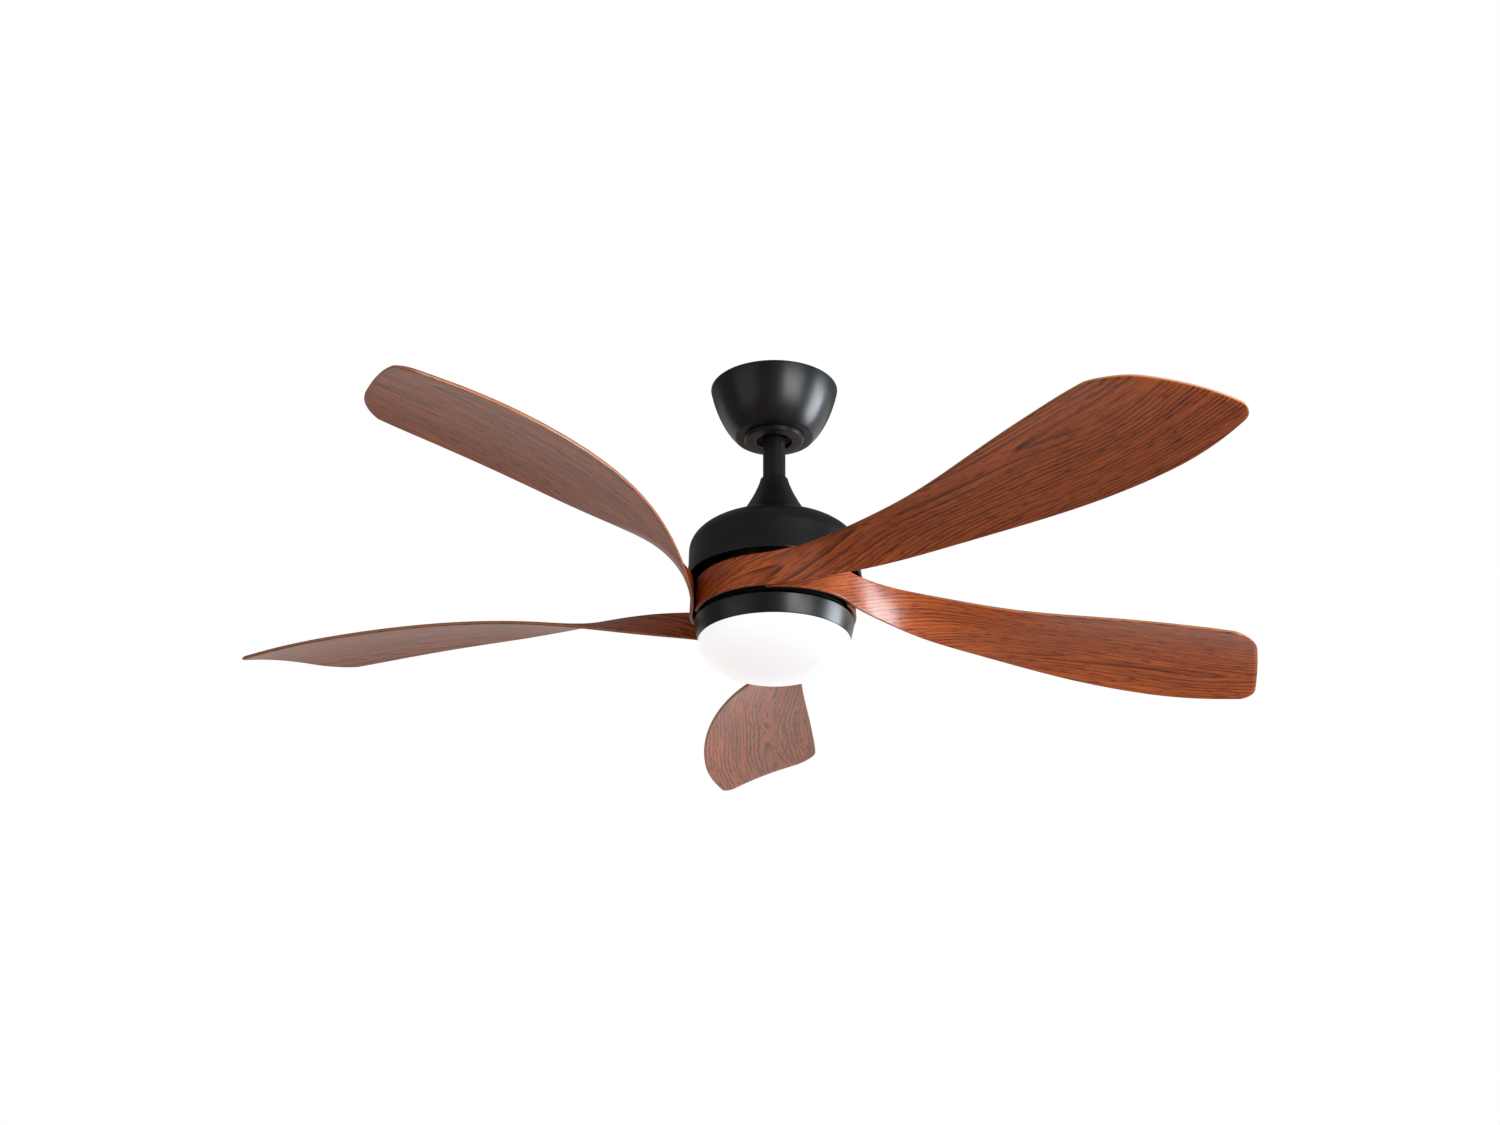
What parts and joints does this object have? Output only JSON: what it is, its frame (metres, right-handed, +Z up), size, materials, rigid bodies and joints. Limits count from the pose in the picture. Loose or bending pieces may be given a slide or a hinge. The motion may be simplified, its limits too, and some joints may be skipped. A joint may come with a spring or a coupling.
{
  "type": "ceiling fan with light",
  "caption": "Ceiling fan on a short downrod: black canopy, dome motor housing, carved wooden blades wrapped round the hub like a pinwheel, and an opal bowl light below.",
  "frame": {"origin": "centre of the canopy's rim on the ceiling plane; the fan hangs below it", "axes": "+Z up, along the downrod and the fan's turning axis; +Y away from the viewer of the reference view; +X to its right"},
  "size_m": [1.249, 1.2229, 0.3691],
  "materials": {
    "black_metal": "satin black powder coat",
    "walnut": "clear-coated red-brown walnut with open pores",
    "opal_diffuser": "opal white, softly glossy",
    "zinc_steel": "zinc-plated steel",
    "cast_aluminium": "machined casting",
    "copper_winding": "enamelled copper wire",
    "lamination": "stacked electrical steel",
    "magnet": "sintered ferrite",
    "circuit_board": "green solder mask",
    "white_board": "white board and white plastic",
    "nylon": "natural nylon",
    "grey_plastic": "moulded grey plastic",
    "cable_jacket": "matt black jacket"
  },
  "bodies": {
    "ceiling_mount": {"ceiling_bracket": "zinc_steel", "canopy": "black_metal", "canopy_trim_ring": "black_metal", "canopy_screw_1": "zinc_steel", "canopy_screw_2": "zinc_steel", "terminal_block": "nylon", "receiver_box": "grey_plastic"},
    "liner": {"ball_liner": "nylon"},
    "hanging_unit": {"hanger_ball": "grey_plastic", "ball_pin": "zinc_steel", "downrod": "black_metal", "supply_lead": "cable_jacket", "lead_plug": "nylon", "light_plug": "nylon", "coupling_cover": "black_metal", "motor_yoke": "zinc_steel", "yoke_pin": "zinc_steel", "yoke_pin_clip": "zinc_steel", "yoke_set_screw_1": "zinc_steel", "yoke_set_screw_2": "zinc_steel", "motor_housing": "black_metal", "housing_screw_1": "zinc_steel", "housing_screw_2": "zinc_steel", "housing_screw_3": "zinc_steel", "driver_board": "circuit_board", "motor_shaft": "zinc_steel", "stator_core": "lamination", "stator_winding": "copper_winding", "light_ring": "black_metal", "light_plate": "zinc_steel", "shaft_nut": "zinc_steel", "led_driver": "white_board", "led_tray": "cast_aluminium", "led_board": "white_board", "tray_screw_1": "zinc_steel", "tray_screw_2": "zinc_steel", "tray_screw_3": "zinc_steel"},
    "rotor": {"rotor_shell": "cast_aluminium", "magnet_ring": "magnet", "bearing_upper": "zinc_steel", "bearing_lower": "zinc_steel", "blade_hub": "black_metal", "blade_1": "walnut", "blade_2": "walnut", "blade_3": "walnut", "blade_4": "walnut", "blade_5": "walnut", "blade_clamp_1": "zinc_steel", "blade_clamp_2": "zinc_steel", "blade_clamp_3": "zinc_steel", "blade_clamp_4": "zinc_steel", "blade_clamp_5": "zinc_steel"},
    "bowl": {"diffuser": "opal_diffuser"}
  },
  "joints": [
    {"name": "ball_tilt_side", "type": "hinge", "parent": "ceiling_mount", "child": "liner", "pos_m": [0, 0, -0.034], "axis": [1, 0, 0], "range_deg": [-7, 7]},
    {"name": "ball_tilt_front", "type": "hinge", "parent": "liner", "child": "hanging_unit", "pos_m": [0, 0, -0.034], "axis": [0, 1, 0], "range_deg": [-7, 7]},
    {"name": "rotor_spin", "type": "hinge", "parent": "hanging_unit", "child": "rotor", "pos_m": [0, 0, -0.277], "axis": [0, 0, 1], "continuous": true},
    {"name": "bowl_twist", "type": "hinge", "parent": "hanging_unit", "child": "bowl", "pos_m": [0, 0, -0.326], "axis": [0, 0, 1], "range_deg": [0, 20]}
  ]
}
